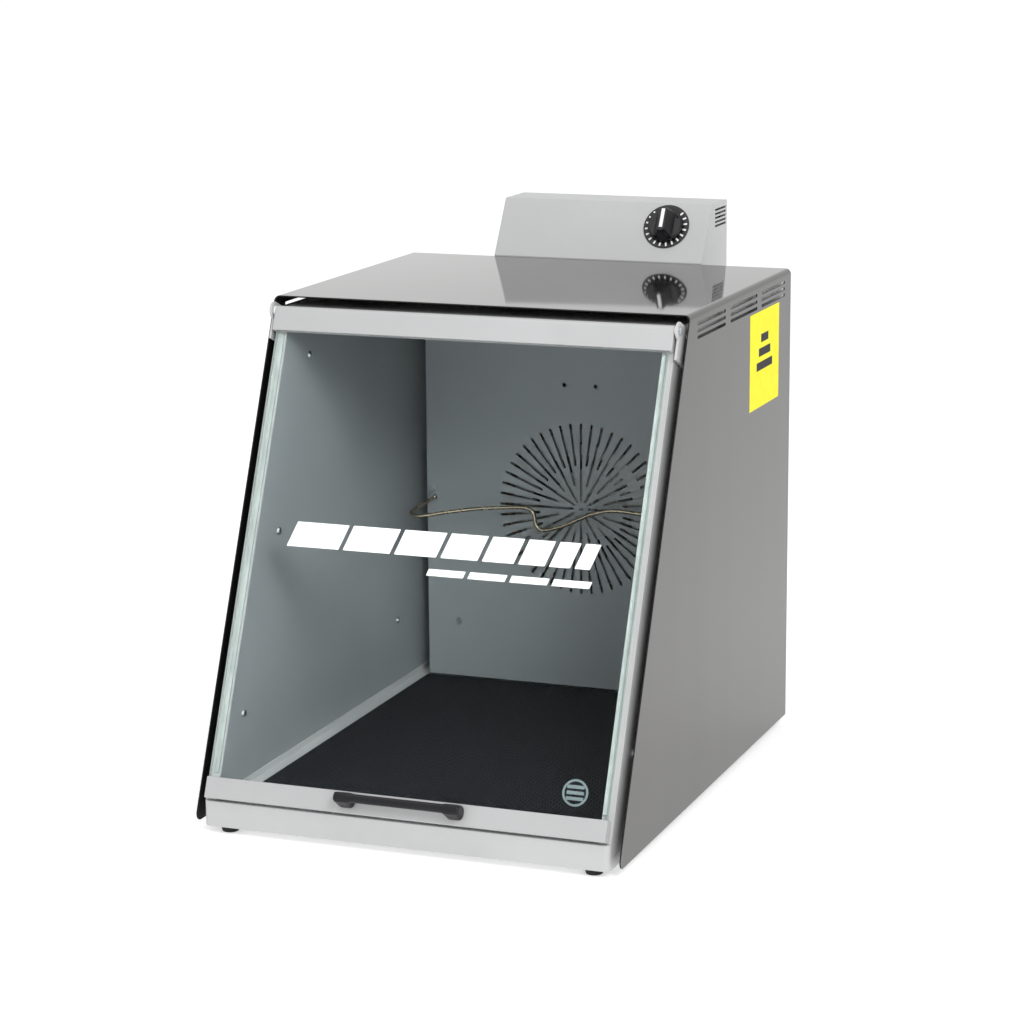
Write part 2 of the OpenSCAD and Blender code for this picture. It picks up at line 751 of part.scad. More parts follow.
module dial_plate() {
    color(black) on_console() translate([knob_x, 0, knob_s]) rotate([90, 0, 0]) difference() {
        cylinder(h = 1.5, d = dial_d, $fn = 96);
        translate([0, 0, -eps]) cylinder(h = 4, d = 8);
    }
}

// The knob turns clear of the plate; its grip is a bar that overhangs the body at the top.
module knob() {
    color(black) on_console() translate([knob_x, 0, knob_s]) rotate([90, 0, 0]) difference() {
        union() {
            translate([0, 0, 2]) cylinder(h = 4, d = knob_d, $fn = 96);
            translate([0, 0, 5.9]) cylinder(h = 1.5, d1 = knob_d, d2 = knob_d - 3, $fn = 96);
            hull() {
                translate([-6.5, 12, 6]) cylinder(h = 1, d = 9, $fn = 32);
                translate([6.5, 12, 6]) cylinder(h = 1, d = 9, $fn = 32);
                translate([-6.5, -13, 6]) cylinder(h = 1, d = 9, $fn = 32);
                translate([6.5, -13, 6]) cylinder(h = 1, d = 9, $fn = 32);
                translate([0, 11.5, knob_h - 1]) cylinder(h = 1, d = 9, $fn = 32);
                translate([0, -9, knob_h - 1]) cylinder(h = 1, d = 9, $fn = 32);
            }
        }
        translate([0, 0, -eps]) cylinder(h = 12 + eps, d = 6 + 0.1);
        pointer_bar(0.05);
    }
}

// White bar let into the grip, pointing up the console face.
module pointer_bar(play) {
    translate([-pointer_w / 2 - play, pointer_s[0], knob_h - 0.8 - play])
        cube([pointer_w + 2 * play, pointer_s[1] - pointer_s[0], 1 + play]);
}
module knob_pointer() {
    color("white") on_console() translate([knob_x, 0, knob_s]) rotate([90, 0, 0]) pointer_bar(0);
}

module thermostat_shaft() {
    color(steel) on_console() translate([knob_x, 0, knob_s]) rotate([90, 0, 0])
        translate([0, 0, -13]) cylinder(h = 24.8, d = 6);
}

module terminal_block() {
    color("#e8e2d0") translate([0, back_y, base_z]) {
        for (x = [-76, -64, -52]) difference() {
            box([x - 6, x + 5.8], [10, 28], [410, 431]);
            rod_y(5, 20, 30, x, 426);
            rod_y(5, 20, 30, x, 415);
        }
    }
}

// Three-pin appliance inlet, flush in the rear cover.
module mains_inlet() {
    color(black) translate([inlet_x, housing_y, base_z + inlet_z]) difference() {
        union() {
            box([-13.8, 13.8], [-24, 0], [-9.8, 9.8]);
            box([-19, 19], [0, 1.5], [-12.5, 12.5]);
        }
        box([-12, 12], [-16, 3], [-8, 8]);
    }
    color(steel) translate([inlet_x, housing_y, base_z + inlet_z])
        for (x = [-7, 0, 7]) box([x - 1, x + 1], [-17, -4], [-2, 2]);
}

module internal_leads() { color("#7a2f2a") for (p = lead_routes) tube(placed(smooth(p, 3)), lead_d); }

// ---------------------------------------------------------------- feet

foot_screw_d = 4;
foot_seat_t = 3;
foot_at = [for (x = [-198, 198], y = [front_y + 18, back_y - 32]) [x, y]];

module rubber_feet() {
    color(black) for (p = foot_at) translate([p[0], p[1], 0]) difference() {
        cylinder(h = foot_h, d1 = foot_d - 3, d2 = foot_d);
        translate([0, 0, -eps]) cylinder(h = foot_h - foot_seat_t + eps, d = 2 * foot_screw_d + 1.5);
        translate([0, 0, -eps]) cylinder(h = foot_h + 2 * eps, d = foot_screw_d + gap);
    }
}

module foot_screws() {
    color(steel) for (p = foot_at) translate([p[0], p[1], foot_h - foot_seat_t])
        screw(foot_seat_t + body_t + 4, foot_screw_d);
}

// ---------------------------------------------------------------- door hinges and seal

// Each bracket is a thick foot on the body's side, and an ear that carries the pivot pin.
bracket_t = 2.5;
bracket_r = 9;
bracket_s = [pivot_s - 30, pivot_s + bracket_r];
washer_t = 2.1;
ear_x = top_rail_x + washer_t + 0.1;
bracket_screw_at = [[14, pivot_s], [24, pivot_s]];

module bracket_holes() {
    on_slope() for (p = bracket_screw_at) rod_x(3.2, panel_x - eps, ear_x + 5, p[0], p[1]);
}

module hinge_bracket() {
    difference() {
        on_slope() difference() {
            union() {
                rod_x(2 * bracket_r, ear_x, ear_x + bracket_t, rail_mid, pivot_s);
                box([ear_x, ear_x + bracket_t], [rail_mid, 30], bracket_s);
                box([body_x, ear_x + 1], [8, 30], bracket_s);
            }
            rod_x(pivot_d + 0.6, body_x - eps, ear_x + 5, rail_mid, pivot_s);
        }
        bracket_holes();
    }
}
module hinge_bracket_left() { color(steel) mirror([1, 0, 0]) hinge_bracket(); }
module hinge_bracket_right() { color(steel) hinge_bracket(); }

module bracket_screws() {
    color(steel) both_sides() on_slope() for (p = bracket_screw_at)
        translate([ear_x + bracket_t, p[0], p[1]]) rotate([0, -90, 0])
            screw(ear_x + bracket_t - panel_x, 3);
}

// Silicone strips on the body's front flanges, just clear of the closed glass.
module door_seal() {
    color("#d6d8d8") both_sides() on_slope()
        box([flange_x + 1, flange_x + 6], [glass_back + 0.3, -body_out],
            [glass_low_s + 11, glass_top_s - 14]);
}

// ---------------------------------------------------------------- door

glass_x = 215;
low_rail_x = 216.5;

module door_glass() {
    color("#a8c4c8", 0.35) on_slope()
        box([-glass_x, glass_x], [glass_back - glass_t, glass_back], [glass_low_s, glass_top_s]);
}

module glass_slot(s0, s1) {
    box([-glass_x - gap, glass_x + gap], [glass_back - glass_t - 0.05, glass_back + 0.05], [s0, s1]);
}

module door_top_rail() {
    low_s = rail_top_s - top_rail_h;
    color(light_grey) on_slope() difference() {
        union() {
            box([-top_rail_x, top_rail_x], [rail_front, rail_back], [low_s, pivot_s]);
            rod_x(rail_t, -top_rail_x, top_rail_x, rail_mid, pivot_s);
        }
        glass_slot(low_s - eps, glass_top_s + gap);
        both_sides() rod_x(pivot_d + 0.1, top_rail_x - 21, top_rail_x + eps, rail_mid, pivot_s);
    }
}

module door_bottom_rail() {
    color(light_grey) on_slope() difference() {
        box([-low_rail_x, low_rail_x], [rail_front, rail_back], [rail_low_s, rail_low_s + low_rail_h]);
        glass_slot(glass_low_s - gap, rail_low_s + low_rail_h + eps);
        for (x = [-1, 1]) translate([x * handle_pitch / 2, rail_front - eps, foot_s])
            rotate([-90, 0, 0]) cylinder(h = 20, d = 3.5 + gap);
    }
}

// Slab with rounded corners, standing out of the front's plane by t.
module rounded_slab(w, h, r, t) {
    rotate([90, 0, 0]) linear_extrude(t) offset(r = r, $fn = 32)
        square([w - 2 * r, h - 2 * r], center = true);
}

// Bow handle: a slim bar on two legs that widen towards their feet.
module door_handle() {
    half = handle_pitch / 2;
    grip_back = rail_front - handle_out + grip_t;
    color(black) on_slope() difference() {
        union() {
            translate([1 - half - leg_w / 2, grip_back - grip_t / 2, grip_s]) rotate([0, 0, 90])
                rounded_slab(grip_t, grip_h, 3, 2 * half + leg_w - 2);
            for (x = [-half, half]) hull() {
                translate([x, grip_back, grip_s]) rounded_slab(leg_w, grip_h + 1, 3, grip_t - 0.6);
                translate([x, rail_front, foot_s]) rounded_slab(leg_w, leg_h, 5, 2);
            }
        }
        for (x = [-half, half]) translate([x, rail_front - 14, foot_s])
            rotate([-90, 0, 0]) cylinder(h = 20, d = 3.5 + gap);
    }
}

// Screws from the back of the lower rail into the handle's legs.
module handle_screws() {
    color(steel) on_slope() for (x = [-1, 1])
        translate([x * handle_pitch / 2, rail_back, foot_s])
        rotate([90, 0, 0]) cylinder(h = rail_t + 12, d = 3.5);
}

module pivot_pins() {
    color(steel) both_sides() on_slope() {
        rod_x(pivot_d, top_rail_x - 20, ear_x + bracket_t + 1, rail_mid, pivot_s);
        rod_x(9, ear_x + bracket_t + 0.1, ear_x + bracket_t + 1.8, rail_mid, pivot_s);
    }
}

module friction_washers() {
    color("white") both_sides() on_slope() difference() {
        rod_x(rail_t - 0.4, top_rail_x, top_rail_x + washer_t, rail_mid, pivot_s);
        rod_x(pivot_d + 0.1, top_rail_x - eps, ear_x, rail_mid, pivot_s);
    }
}

outer_hood();
hood_spacers();
side_panel_left();
side_panel_right();
roof_panel();
base_pan();
rear_panel();
liner_left();
liner_right();
liner_roof();
liner_rear();
chamber_floor();
floor_mat();
floor_rails();
side_insulation();
roof_insulation();
floor_insulation();
rear_insulation();
air_baffle();
baffle_standoffs();
baffle_screws();
wall_screws();
sensor_tube();
sensor_gland();
heating_element();
heater_flange();
motor_core();
motor_winding();
front_bearing_bracket();
rear_bearing_bracket();
motor_bolts();
rear_housing();
rear_cover();
housing_screws();
thermostat();
dial_plate();
terminal_block();
mains_inlet();
internal_leads();
rubber_feet();
foot_screws();
hinge_bracket_left();
hinge_bracket_right();
bracket_screws();
door_seal();
impeller();
hub_nut();
motor_shaft();
motor_rotor();
cooling_fan();
knob();
knob_pointer();
thermostat_shaft();
door_glass();
door_top_rail();
door_bottom_rail();
door_handle();
handle_screws();
pivot_pins();
friction_washers();
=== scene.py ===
"""Looks of a bench-top hot-air cabinet for ski boots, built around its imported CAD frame."""
import json
import math

import bmesh
import bpy
from mathutils import Matrix, Vector


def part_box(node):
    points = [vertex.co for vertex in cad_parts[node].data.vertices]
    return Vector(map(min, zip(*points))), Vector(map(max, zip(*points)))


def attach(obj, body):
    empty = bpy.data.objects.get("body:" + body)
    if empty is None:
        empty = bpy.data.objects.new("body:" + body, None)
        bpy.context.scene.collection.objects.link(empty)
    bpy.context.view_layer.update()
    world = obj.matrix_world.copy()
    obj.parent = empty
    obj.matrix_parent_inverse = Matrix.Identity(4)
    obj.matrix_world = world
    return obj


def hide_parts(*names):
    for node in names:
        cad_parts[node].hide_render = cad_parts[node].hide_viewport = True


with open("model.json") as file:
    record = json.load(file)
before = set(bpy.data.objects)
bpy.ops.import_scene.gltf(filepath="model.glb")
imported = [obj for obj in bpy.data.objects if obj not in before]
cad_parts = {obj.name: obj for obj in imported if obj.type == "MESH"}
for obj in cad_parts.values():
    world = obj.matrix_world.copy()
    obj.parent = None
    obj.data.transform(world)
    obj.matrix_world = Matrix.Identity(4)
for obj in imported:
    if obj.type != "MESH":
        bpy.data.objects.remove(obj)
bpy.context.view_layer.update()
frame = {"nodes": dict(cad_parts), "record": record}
nodes = frame["nodes"]

MM = 0.001

# ---------------------------------------------------------------- the frame's own places

hood_low, hood_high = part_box("outer_hood")
FRONT_Y = hood_low.y
BACK_Y = hood_high.y
BASE_Z = hood_low.z

# The sloping front leans back from the hood's lower front edge.
HOOD_TOP_DEPTH = 368 * MM
HOOD_BEND = 6 * MM
SLOPE = math.atan((BACK_Y - FRONT_Y - HOOD_TOP_DEPTH) / (hood_high.z - hood_low.z))

# The console's face leans back from its lower edge, and carries the dial.
CONSOLE_LOW = Vector((0, BACK_Y + 2 * MM, BASE_Z + 516 * MM))
CONSOLE_SLOPE = math.atan(38 / 62)
DIAL_X = 76 * MM
DIAL_S = 43.4 * MM


def on_slope(x, out, s):
    """Point at x, s metres up the sloping front and out metres in front of the hood's edges."""
    y = FRONT_Y + s * math.sin(SLOPE) - out * math.cos(SLOPE)
    return Vector((x, y, BASE_Z + s * math.cos(SLOPE) + out * math.sin(SLOPE)))


def slope_frame(x, out, s):
    """Placing matrix whose X runs right, Y up the slope and Z out of it."""
    up = Vector((0, math.sin(SLOPE), math.cos(SLOPE)))
    return placing(Vector((1, 0, 0)), up, on_slope(x, out, s))


def placing(right, up, place):
    matrix = Matrix((right, up, right.cross(up))).transposed().to_4x4()
    return Matrix.Translation(place) @ matrix


def from_back(x, y, z):
    """Point given in millimetres from the hood's lower back edge."""
    return Vector((x * MM, BACK_Y + y * MM, BASE_Z + z * MM))


# ---------------------------------------------------------------- camera and studio

# The camera stands to the cabinet's right and a little above it, with a long lens.
CAMERA_PLACE = Vector((1.13979, BACK_Y - 3.24066, BASE_Z + 0.96944))
CAMERA_YAW = math.radians(21.01)
CAMERA_PITCH = math.radians(12.28)
CAMERA_ROLL = math.radians(-0.41)
CAMERA_LENS = 106.5
CAMERA_FAR_CLIP = 80
SENSOR_WIDTH = 36


def add_camera():
    yaw, pitch, roll = CAMERA_YAW, CAMERA_PITCH, CAMERA_ROLL
    level = math.cos(pitch)
    back = Vector((math.sin(yaw) * level, -math.cos(yaw) * level, math.sin(pitch)))
    right = (-back).cross(Vector((0, 0, 1))).normalized()
    up = right.cross(-back)
    side = math.cos(roll) * right + math.sin(roll) * up
    top = math.cos(roll) * up - math.sin(roll) * right
    data = bpy.data.cameras.new("camera")
    data.lens = CAMERA_LENS
    data.sensor_width = SENSOR_WIDTH
    data.clip_end = CAMERA_FAR_CLIP
    camera = bpy.data.objects.new("camera", data)
    turn = Matrix((side, top, back)).transposed().to_4x4()
    camera.matrix_world = Matrix.Translation(CAMERA_PLACE) @ turn
    bpy.context.collection.objects.link(camera)
    bpy.context.scene.camera = camera


def add_lamp(name, place, aim, size, power):
    data = bpy.data.lights.new(name, "AREA")
    data.size = size
    data.energy = power
    lamp = bpy.data.objects.new(name, data)
    lamp.location = place
    lamp.rotation_euler = (aim - place).to_track_quat("-Z", "Y").to_euler()
    bpy.context.collection.objects.link(lamp)


# Brightness of the white surroundings, as they are seen and mirrored, and as they light matt
# surfaces. The floor glows a little so that it stays white.
SURROUNDINGS_SEEN = 1.05
SURROUNDINGS_LIGHT = 0.7
FLOOR_GLOW = 0.42
FLOOR_REACH = 40


def add_surroundings():
    """White all round, dimmer as a light than as what is seen or mirrored."""
    world = bpy.data.worlds.new("studio")
    world.use_nodes = True
    tree = world.node_tree
    path = tree.nodes.new("ShaderNodeLightPath")
    level = tree.nodes.new("ShaderNodeMapRange")
    level.inputs["To Min"].default_value = SURROUNDINGS_SEEN
    level.inputs["To Max"].default_value = SURROUNDINGS_LIGHT
    tree.nodes["Background"].inputs["Color"].default_value = (1, 1, 1, 1)
    tree.links.new(path.outputs["Is Diffuse Ray"], level.inputs["Value"])
    tree.links.new(level.outputs["Result"], tree.nodes["Background"].inputs["Strength"])
    bpy.context.scene.world = world


def add_studio():
    add_surroundings()
    middle = Vector((0, 0, 0.3))
    add_lamp("key_softbox", Vector((1.7, -2.0, 1.9)), middle, 1.0, 34)
    add_lamp("low_fill", Vector((1.2, -2.4, 0.3)), middle, 1.0, 5)
    add_lamp("top_softbox", Vector((-0.5, -1.0, 2.7)), middle, 1.6, 15)
    mesh = bpy.data.meshes.new("floor")
    reach = FLOOR_REACH
    corners = [(-reach, -reach, 0), (reach, -reach, 0), (reach, reach, 0), (-reach, reach, 0)]
    mesh.from_pydata(corners, [], [(0, 1, 2, 3)])
    floor = bpy.data.objects.new("floor", mesh)
    bpy.context.collection.objects.link(floor)
    paper = new_finish("studio_floor", (0.9, 0.9, 0.9), 0.9, Specular_IOR_Level=0.0,
                       Emission_Color=(1, 1, 1, 1), Emission_Strength=FLOOR_GLOW)
    floor.data.materials.append(paper)
    bpy.context.scene.view_settings.view_transform = "Standard"


# ---------------------------------------------------------------- material helpers

def new_finish(name, colour, roughness, metallic=0.0, **sockets):
    """A Principled material with constant sockets, which the patterns below are then linked to."""
    material = bpy.data.materials.new(name)
    material.use_nodes = True
    shader = material.node_tree.nodes["Principled BSDF"]
    shader.inputs["Base Color"].default_value = (*colour, 1)
    shader.inputs["Roughness"].default_value = roughness
    shader.inputs["Metallic"].default_value = metallic
    for label, value in sockets.items():
        shader.inputs[label.replace("_", " ")].default_value = value
    return material


def add_node(material, kind, **settings):
    node = material.node_tree.nodes.new(kind)
    for label, value in settings.items():
        setattr(node, label, value)
    return node


def link(material, source, target):
    material.node_tree.links.new(source, target)


def object_places(material, stretch=(1, 1, 1), turn=(0, 0, 0)):
    """Object coordinates, stretched so that a pattern can run along one way."""
    places = add_node(material, "ShaderNodeTexCoord")
    mapping = add_node(material, "ShaderNodeMapping")
    mapping.inputs["Scale"].default_value = stretch
    mapping.inputs["Rotation"].default_value = turn
    link(material, places.outputs["Object"], mapping.inputs["Vector"])
    return mapping.outputs["Vector"]


def grain(material, scale, detail=3, stretch=(1, 1, 1), turn=(0, 0, 0)):
    noise = add_node(material, "ShaderNodeTexNoise")
    noise.inputs["Scale"].default_value = scale
    noise.inputs["Detail"].default_value = detail
    link(material, object_places(material, stretch, turn), noise.inputs["Vector"])
    return noise.outputs["Fac"]


def bands(material, scale, direction):
    wave = add_node(material, "ShaderNodeTexWave", bands_direction=direction)
    wave.inputs["Scale"].default_value = scale
    link(material, object_places(material), wave.inputs["Vector"])
    return wave.outputs["Fac"]


def colour_by(material, pattern, dark, light, low=0.35, high=0.65):
    ramp = add_node(material, "ShaderNodeValToRGB")
    ramp.color_ramp.elements[0].position = low
    ramp.color_ramp.elements[1].position = high
    ramp.color_ramp.elements[0].color = (*dark, 1)
    ramp.color_ramp.elements[1].color = (*light, 1)
    link(material, pattern, ramp.inputs["Fac"])
    link(material, ramp.outputs["Color"], shader_of(material).inputs["Base Color"])


def roughness_by(material, pattern, low, high):
    spread = add_node(material, "ShaderNodeMapRange")
    spread.inputs["To Min"].default_value = low
    spread.inputs["To Max"].default_value = high
    link(material, pattern, spread.inputs["Value"])
    link(material, spread.outputs["Result"], shader_of(material).inputs["Roughness"])


def bump_by(material, pattern, strength, depth):
    bump = add_node(material, "ShaderNodeBump")
    bump.inputs["Strength"].default_value = strength
    bump.inputs["Distance"].default_value = depth
    link(material, pattern, bump.inputs["Height"])
    link(material, bump.outputs["Normal"], shader_of(material).inputs["Normal"])


def shader_of(material):
    return material.node_tree.nodes["Principled BSDF"]


def scaled(colour, share):
    return tuple(part * share for part in colour)


# ---------------------------------------------------------------- finishes

def make_paint(name, colour, roughness, orange_peel=0.06, **sockets):
    """Sprayed powder coat: a fine orange peel, slow changes of tone and of gloss."""
    material = new_finish(name, colour, roughness, **sockets)
    colour_by(material, grain(material, 9, 4), scaled(colour, 0.96), scaled(colour, 1.03))
    roughness_by(material, grain(material, 24, 5), roughness - 0.05, roughness + 0.05)
    bump_by(material, grain(material, 650, 2), orange_peel, 0.0002)
    return material


def make_graphite():
    """Glossy dark metallic coat with faint vertical streaks and flakes."""
    colour = (0.047, 0.0445, 0.042)
    material = new_finish("graphite_coat", colour, 0.055, 0.6, Coat_Weight=0.08,
                          Coat_Roughness=0.03, Coat_IOR=1.5)
    streaks = grain(material, 14, 5, stretch=(1, 1, 0.06))
    colour_by(material, streaks, scaled(colour, 0.9), scaled(colour, 1.12), 0.3, 0.7)
    roughness_by(material, grain(material, 1800, 2), 0.04, 0.07)
    bump_by(material, grain(material, 420, 2), 0.03, 0.0002)
    return material


def make_metal(name, colour, roughness, stretch=(1, 1, 1), scale=300):
    """Bare or plated metal with fine drawing marks along one way."""
    material = new_finish(name, colour, roughness, 1.0)
    marks = grain(material, scale, 4, stretch)
    colour_by(material, marks, scaled(colour, 0.85), scaled(colour, 1.08))
    roughness_by(material, grain(material, 60, 4), roughness - 0.06, roughness + 0.1)
    bump_by(material, marks, 0.08, 0.0001)
    return material


def make_heater_sheath():
    """Steel sheath, straw to dark brown where it has been hot."""
    material = new_finish("heater_sheath", (0.15, 0.12, 0.10), 0.45, 0.9)
    colour_by(material, grain(material, 35, 5), (0.07, 0.05, 0.045), (0.32, 0.24, 0.17))
    roughness_by(material, grain(material, 90, 4), 0.35, 0.6)
    bump_by(material, grain(material, 700, 2), 0.15, 0.0002)
    return material


def make_plastic(name, colour, roughness, texture=0.12, **sockets):
    """Moulded plastic with a spark-eroded texture."""
    material = new_finish(name, colour, roughness, **sockets)
    colour_by(material, grain(material, 40, 3), scaled(colour, 0.9), scaled(colour, 1.1))
    roughness_by(material, grain(material, 120, 3), roughness - 0.05, roughness + 0.08)
    bump_by(material, grain(material, 1400, 2), texture, 0.0002)
    return material


def make_rubber(name, colour, roughness=0.75, **sockets):
    """Matt rubber with a little dust in its grain."""
    material = new_finish(name, colour, roughness, **sockets)
    dust = grain(material, 130, 5)
    colour_by(material, dust, scaled(colour, 0.8), scaled(colour, 1.7), 0.4, 0.75)
    bump_by(material, grain(material, 900, 3), 0.3, 0.0003)
    return material


def make_wool():
    """Mineral wool board: long crossing fibres."""
    material = new_finish("mineral_wool", (0.68, 0.62, 0.42), 0.95, Sheen_Weight=0.4)
    fibres = grain(material, 160, 6, stretch=(1, 0.12, 1), turn=(0.4, 0.2, 0.6))
    colour_by(material, fibres, (0.42, 0.36, 0.2), (0.82, 0.76, 0.55), 0.3, 0.7)
    bump_by(material, fibres, 0.7, 0.0012)
    return material


def make_braid():
    """Glass-fibre sleeve with a fine crossed braid."""
    material = new_finish("lead_braid", (0.32, 0.06, 0.05), 0.7, Sheen_Weight=0.3)
    strands = bands(material, 260, "DIAGONAL")
    colour_by(material, strands, (0.2, 0.03, 0.03), (0.42, 0.1, 0.08))
    bump_by(material, strands, 0.5, 0.0004)
    return material


def make_copper():
    """Copper wire under a clear brown enamel."""
    material = new_finish("enamelled_copper", (0.55, 0.24, 0.10), 0.28, 1.0, Coat_Weight=0.6,
                          Coat_Roughness=0.12)
    colour_by(material, grain(material, 200, 3), (0.42, 0.16, 0.07), (0.62, 0.29, 0.13))
    bump_by(material, grain(material, 500, 2), 0.1, 0.0002)
    return material


def make_phenolic():
    """Brown thermostat moulding, slightly mottled."""
    material = new_finish("phenolic", (0.23, 0.16, 0.09), 0.4, Coat_Weight=0.2)
    colour_by(material, grain(material, 260, 5), (0.16, 0.10, 0.055), (0.28, 0.20, 0.12))
    bump_by(material, grain(material, 500, 2), 0.12, 0.0002)
    return material


def let_lamps_through(material, tint):
    """Give lamp rays a plain clear path, so that what is behind the pane is lit."""
    tree = material.node_tree
    path = tree.nodes.new("ShaderNodeLightPath")
    clear = tree.nodes.new("ShaderNodeBsdfTransparent")
    clear.inputs["Color"].default_value = (*tint, 1)
    mix = tree.nodes.new("ShaderNodeMixShader")
    tree.links.new(path.outputs["Is Shadow Ray"], mix.inputs[0])
    tree.links.new(shader_of(material).outputs["BSDF"], mix.inputs[1])
    tree.links.new(clear.outputs["BSDF"], mix.inputs[2])
    tree.links.new(mix.outputs["Shader"], tree.nodes["Material Output"].inputs["Surface"])


def make_glass():
    """Clear glass with a low index, as if coated against reflections."""
    material = new_finish("clear_glass", (0.96, 0.985, 0.98), 0.0, Transmission_Weight=1.0, IOR=1.1)
    let_lamps_through(material, (0.9, 0.93, 0.92))
    return material


def make_glass_edge():
    """Ground edge of the pane, green and a little frosted."""
    material = new_finish("glass_edge", (0.36, 0.45, 0.415), 0.3)
    colour_by(material, grain(material, 12, 3), (0.31, 0.40, 0.365), (0.42, 0.51, 0.475))
    bump_by(material, grain(material, 900, 3), 0.06, 0.0002)
    return material


def make_print(name, colour, roughness=0.4):
    """Screen-printed ink or label film with a slight unevenness."""
    material = new_finish(name, colour, roughness, Specular_IOR_Level=0.05)
    colour_by(material, grain(material, 70, 4), scaled(colour, 0.95), scaled(colour, 1.02))
    bump_by(material, grain(material, 900, 2), 0.05, 0.0001)
    return material


def make_finishes():
    """One material for each slot of the record."""
    return {
        "graphite_paint": make_graphite(),
        "light_grey_paint": make_paint("light_grey_coat", (0.47, 0.473, 0.475), 0.38),
        "rail_grey": make_paint("rail_coat", (0.432, 0.435, 0.439), 0.33),
        "chamber_grey": make_paint("chamber_coat", (0.285, 0.307, 0.318), 0.4),
        "bare_steel": make_metal("zinc_steel", (0.50, 0.535, 0.56), 0.3),
        "cast_bracket": make_metal("cast_aluminium", (0.34, 0.34, 0.33), 0.4, scale=120),
        "insulation": make_wool(),
        "sensor_brass": make_metal("drawn_brass", (0.42, 0.36, 0.265), 0.24, (1, 1, 0.1)),
        "copper_winding": make_copper(),
        "heater_sheath": make_heater_sheath(),
        "black_rubber": make_rubber("foot_rubber", (0.012, 0.012, 0.013), Specular_IOR_Level=0.3),
        "mat_rubber": make_rubber("mat_silicone", (0.007, 0.008, 0.010), 0.5,
                                  Specular_IOR_Level=0.15),
        "black_plastic": make_plastic("black_plastic", (0.009, 0.009, 0.011), 0.3,
                                      Specular_IOR_Level=0.25),
        "white_plastic": make_plastic("white_plastic", (0.86, 0.86, 0.85), 0.4, 0.05),
        "phenolic": make_phenolic(),
        "lead_sleeve": make_braid(),
        "seal_silicone": make_plastic("seal_silicone", (0.36, 0.40, 0.385), 0.4, 0.04),
        "door_glass": make_glass(),
    }


# ---------------------------------------------------------------- mesh helpers

# Points closer than this, in metres, are one point: on a CAD mesh, and on a swept rod.
CAD_WELD = 2e-6
ROD_WELD = 1e-6
FLAT_ENOUGH = math.radians(0.4)


def link_piece(name, mesh):
    piece = bpy.data.objects.new(name, mesh)
    bpy.context.collection.objects.link(piece)
    return piece


def set_material(piece, material):
    piece.data.materials.clear()
    piece.data.materials.append(material)


def apply_modifiers(piece):
    """Keep what the piece's modifiers make as its own plain mesh."""
    bpy.context.view_layer.update()
    made = piece.evaluated_get(bpy.context.evaluated_depsgraph_get())
    mesh = bpy.data.meshes.new_from_object(made)
    piece.modifiers.clear()
    piece.data = mesh
    return piece


def merged_copy(node, name):
    """Copy of a CAD node with its loose triangles joined and its flat faces made whole."""
    piece = link_piece(name, nodes[node].data.copy())
    shape = bmesh.new()
    shape.from_mesh(piece.data)
    bmesh.ops.remove_doubles(shape, verts=shape.verts, dist=CAD_WELD)
    bmesh.ops.dissolve_limit(shape, angle_limit=FLAT_ENOUGH, verts=shape.verts, edges=shape.edges)
    for face in shape.faces:
        face.smooth = True
    shape.to_mesh(piece.data)
    shape.free()
    if piece.data.has_custom_normals:
        piece.data.attributes.remove(piece.data.attributes["custom_normal"])
    return piece


def soften_edges(piece, width, segments=2, sharper_than=30):
    bevel = piece.modifiers.new("bevel", "BEVEL")
    bevel.width = width
    bevel.segments = segments
    bevel.limit_method = "ANGLE"
    bevel.angle_limit = math.radians(sharper_than)
    bevel.use_clamp_overlap = False
    bevel.harden_normals = True
    return apply_modifiers(piece)


def finish_piece(piece, body, slot, *stands_for):
    """Put the piece under its body and hide the CAD nodes that it replaces; the slot is not used.
    """
    if stands_for:
        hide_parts(*stands_for)
    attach(piece, body)


def dress(piece, material, body, slot, *stands_for):
    set_material(piece, material)
    finish_piece(piece, body, slot, *stands_for)


def body_of(node):
    bodies = frame["record"]["behaviour"]["bodies"]
    return next(body for body, members in bodies.items() if node in members)


def slot_of(node):
    return next(s["material_slot"] for s in frame["record"]["subparts"] if s["node"] == node)


# ---------------------------------------------------------------- sheet metal and mouldings

# Edge radius of each piece whose edges show, in millimetres.
EDGES = {
    "outer_hood": 0.35, "side_panel_left": 0.35, "side_panel_right": 0.35, "roof_panel": 0.35,
    "base_pan": 0.7, "door_top_rail": 0.8, "door_bottom_rail": 0.8, "rear_housing": 0.3,
    "rear_cover": 0.3, "floor_rails": 0.3, "knob": 0.5, "knob_pointer": 0.15, "dial_plate": 0.4,
    "rubber_feet": 0.8, "hinge_bracket_left": 0.4, "hinge_bracket_right": 0.4, "mains_inlet": 0.4,
    "thermostat": 0.8, "terminal_block": 0.6, "heater_flange": 0.3, "front_bearing_bracket": 0.6,
    "rear_bearing_bracket": 0.6, "friction_washers": 0.3, "sensor_gland": 0.2, "motor_core": 0.3,
    "hub_nut": 0.3, "door_seal": 0.4,
}


def make_soft_edged_pieces(finishes):
    for node, radius in EDGES.items():
        piece = soften_edges(merged_copy(node, node + "_finished"), radius * MM)
        set_material(piece, finishes[slot_of(node)])
        if node == "outer_hood":
            # the hood's inside and cut edges get near-black painted shade
            paint_shade_inside(piece)
        finish_piece(piece, body_of(node), slot_of(node), node)


# Least part of a face's normal that counts as turned outwards.
TURNED_OUT = 0.1


def paint_shade_inside(hood):
    """Painted shade: matt near-black on the hood's inner faces and cut edges, standing in for the
    shadow in the gap between hood and body.
    """
    # this near-black second material is painted shade, not the hood's own paint
    hood.data.materials.append(make_paint("hood_inside_painted_shade", (0.006, 0.006, 0.006), 0.6,
                                          Specular_IOR_Level=0.2))
    for face in hood.data.polygons:
        side = face.normal.x * face.center.x > 0 and abs(face.normal.x) > TURNED_OUT
        top = face.normal.z > TURNED_OUT and face.center.z > hood_high.z - HOOD_BEND
        face.material_index = 0 if side or top else 1


